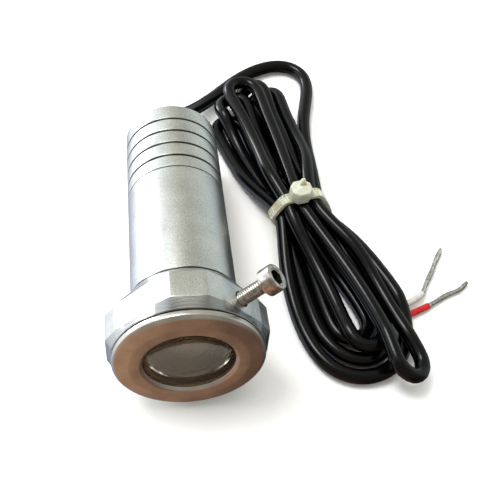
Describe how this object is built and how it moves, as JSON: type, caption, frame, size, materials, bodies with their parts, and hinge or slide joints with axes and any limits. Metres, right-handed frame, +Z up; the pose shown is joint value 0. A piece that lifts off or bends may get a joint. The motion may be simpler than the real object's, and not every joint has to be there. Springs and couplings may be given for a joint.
{
  "type": "underwater pond light",
  "caption": "Slim turned aluminium underwater spotlight with a faceted front collar, a glass lens, a clamp screw and a low-voltage lead tied in a hank.",
  "frame": {"origin": "on the table, under the middle of the light without its cord", "axes": "+Z up, the lens looks towards -Y, the lead leaves towards +Y, and the light leans 5.2 degrees nose up because it lies on its collar and its rear rim"},
  "size_m": [0.0852, 0.1077, 0.0345],
  "materials": {
    "anodised_aluminium": "bead-blasted, clear anodised, satin",
    "turned_aluminium": "fine turned, bright",
    "bright_reflector": "mirror bright",
    "stainless_steel": "bright stainless",
    "gland_brass": "turned brass",
    "lens_glass": "polished clear glass",
    "seal_rubber": "matt black",
    "black_pvc": "half-gloss black",
    "white_pvc": "smooth white",
    "red_pvc": "smooth red",
    "tinned_copper": "twisted tinned strands",
    "natural_nylon": "milky natural nylon",
    "green_laminate": "glass-epoxy board",
    "white_board": "white solder mask",
    "led_phosphor": "yellow phosphor",
    "black_epoxy": "moulded black epoxy"
  },
  "bodies": {
    "casing": {"body_tube": "anodised_aluminium", "rear_cap": "anodised_aluminium", "rear_oring": "seal_rubber", "collar_oring": "seal_rubber", "front_collar": "anodised_aluminium", "bezel_ring": "turned_aluminium", "lens_gasket": "seal_rubber", "glass_lens": "lens_glass", "lens_seat_oring": "seal_rubber", "heat_slug": "turned_aluminium", "led_star_board": "white_board", "star_board_screw_left": "stainless_steel", "star_board_screw_right": "stainless_steel", "led_emitter": "led_phosphor", "led_dome": "lens_glass", "reflector_cup": "bright_reflector", "led_lead_red": "red_pvc", "led_lead_white": "white_pvc", "driver_board": "green_laminate", "driver_inductor": "black_epoxy", "driver_capacitor": "black_epoxy", "driver_rectifier": "black_epoxy", "driver_chip": "black_epoxy", "gland_body": "gland_brass", "gland_nut": "gland_brass", "gland_bush": "seal_rubber", "cord_inner_end": "black_pvc", "feed_core_red": "red_pvc", "feed_core_white": "white_pvc", "cord_lead": "black_pvc", "cord_hank": "black_pvc", "tie_strap": "natural_nylon", "tie_head": "natural_nylon", "core_white": "white_pvc", "core_red": "red_pvc", "tinned_end_white": "tinned_copper", "tinned_end_red": "tinned_copper"},
    "clamp_screw": {"clamp_screw": "stainless_steel"}
  },
  "joints": [
    {"name": "clamp_screw_travel", "type": "slide", "parent": "casing", "child": "clamp_screw", "axis": [0.7071, 0.0642, 0.7042], "range_m": [-0.0018, 0.0028]}
  ]
}
